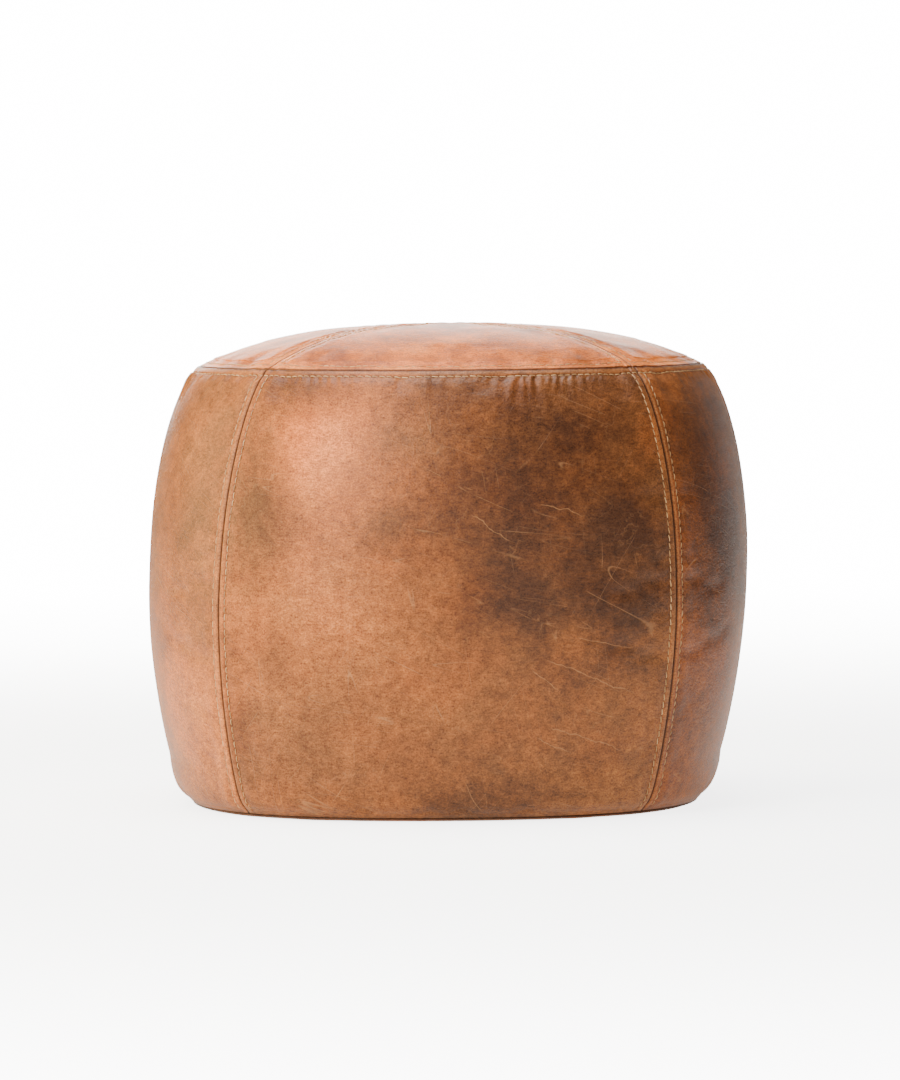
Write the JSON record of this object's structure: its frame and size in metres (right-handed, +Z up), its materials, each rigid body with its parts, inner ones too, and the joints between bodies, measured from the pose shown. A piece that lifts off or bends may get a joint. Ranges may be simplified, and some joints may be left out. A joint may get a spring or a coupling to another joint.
{
  "type": "moroccan leather pouf",
  "caption": "Stuffed leather pouf: softly squared side panels under a domed crown of wedges, topstitched seams, with a zip across its base.",
  "frame": {"origin": "middle of the base, on the floor", "axes": "+Z up, -Y out of the front side panel, +X to the right seen from the front, along the base's zip to its closed end"},
  "size_m": [0.56, 0.56, 0.4459],
  "materials": {
    "side_leather": "satin",
    "crown_leather": "satin",
    "base_leather": "matte",
    "seam_tape": "matte",
    "liner_cloth": "matte",
    "stuffing": "matte",
    "zip_tape": "matte",
    "zip_metal": "satin"
  },
  "bodies": {
    "pouf": {"side_panel_front": "side_leather", "side_panel_right": "side_leather", "side_panel_back": "side_leather", "side_panel_left": "side_leather", "crown_panel_front": "crown_leather", "crown_panel_right": "crown_leather", "crown_panel_back": "crown_leather", "crown_panel_left": "crown_leather", "base_panel_front": "base_leather", "base_panel_back": "base_leather", "side_seam_tape_front_right": "seam_tape", "side_seam_tape_back_right": "seam_tape", "side_seam_tape_back_left": "seam_tape", "side_seam_tape_front_left": "seam_tape", "crown_seam_tape_front_right": "seam_tape", "crown_seam_tape_back_right": "seam_tape", "crown_seam_tape_back_left": "seam_tape", "crown_seam_tape_front_left": "seam_tape", "crown_ring_tape": "seam_tape", "base_ring_tape": "seam_tape", "inner_liner": "liner_cloth", "stuffing": "stuffing", "zip_tape_front": "zip_tape", "zip_tape_back": "zip_tape", "zip_bottom_stop": "zip_metal", "zip_top_stop_front": "zip_metal", "zip_top_stop_back": "zip_metal"},
    "slider": {"zip_slider": "zip_metal"},
    "pull": {"zip_pull_tab": "zip_metal"}
  },
  "joints": [
    {"name": "zip_slide", "type": "slide", "parent": "pouf", "child": "slider", "axis": [-1, 0, 0], "range_m": [0, 0.33]},
    {"name": "pull_hinge", "type": "hinge", "parent": "slider", "child": "pull", "pos_m": [0.165, 0, 0.004], "axis": [0, -1, 0], "range_deg": [0, 175]}
  ]
}
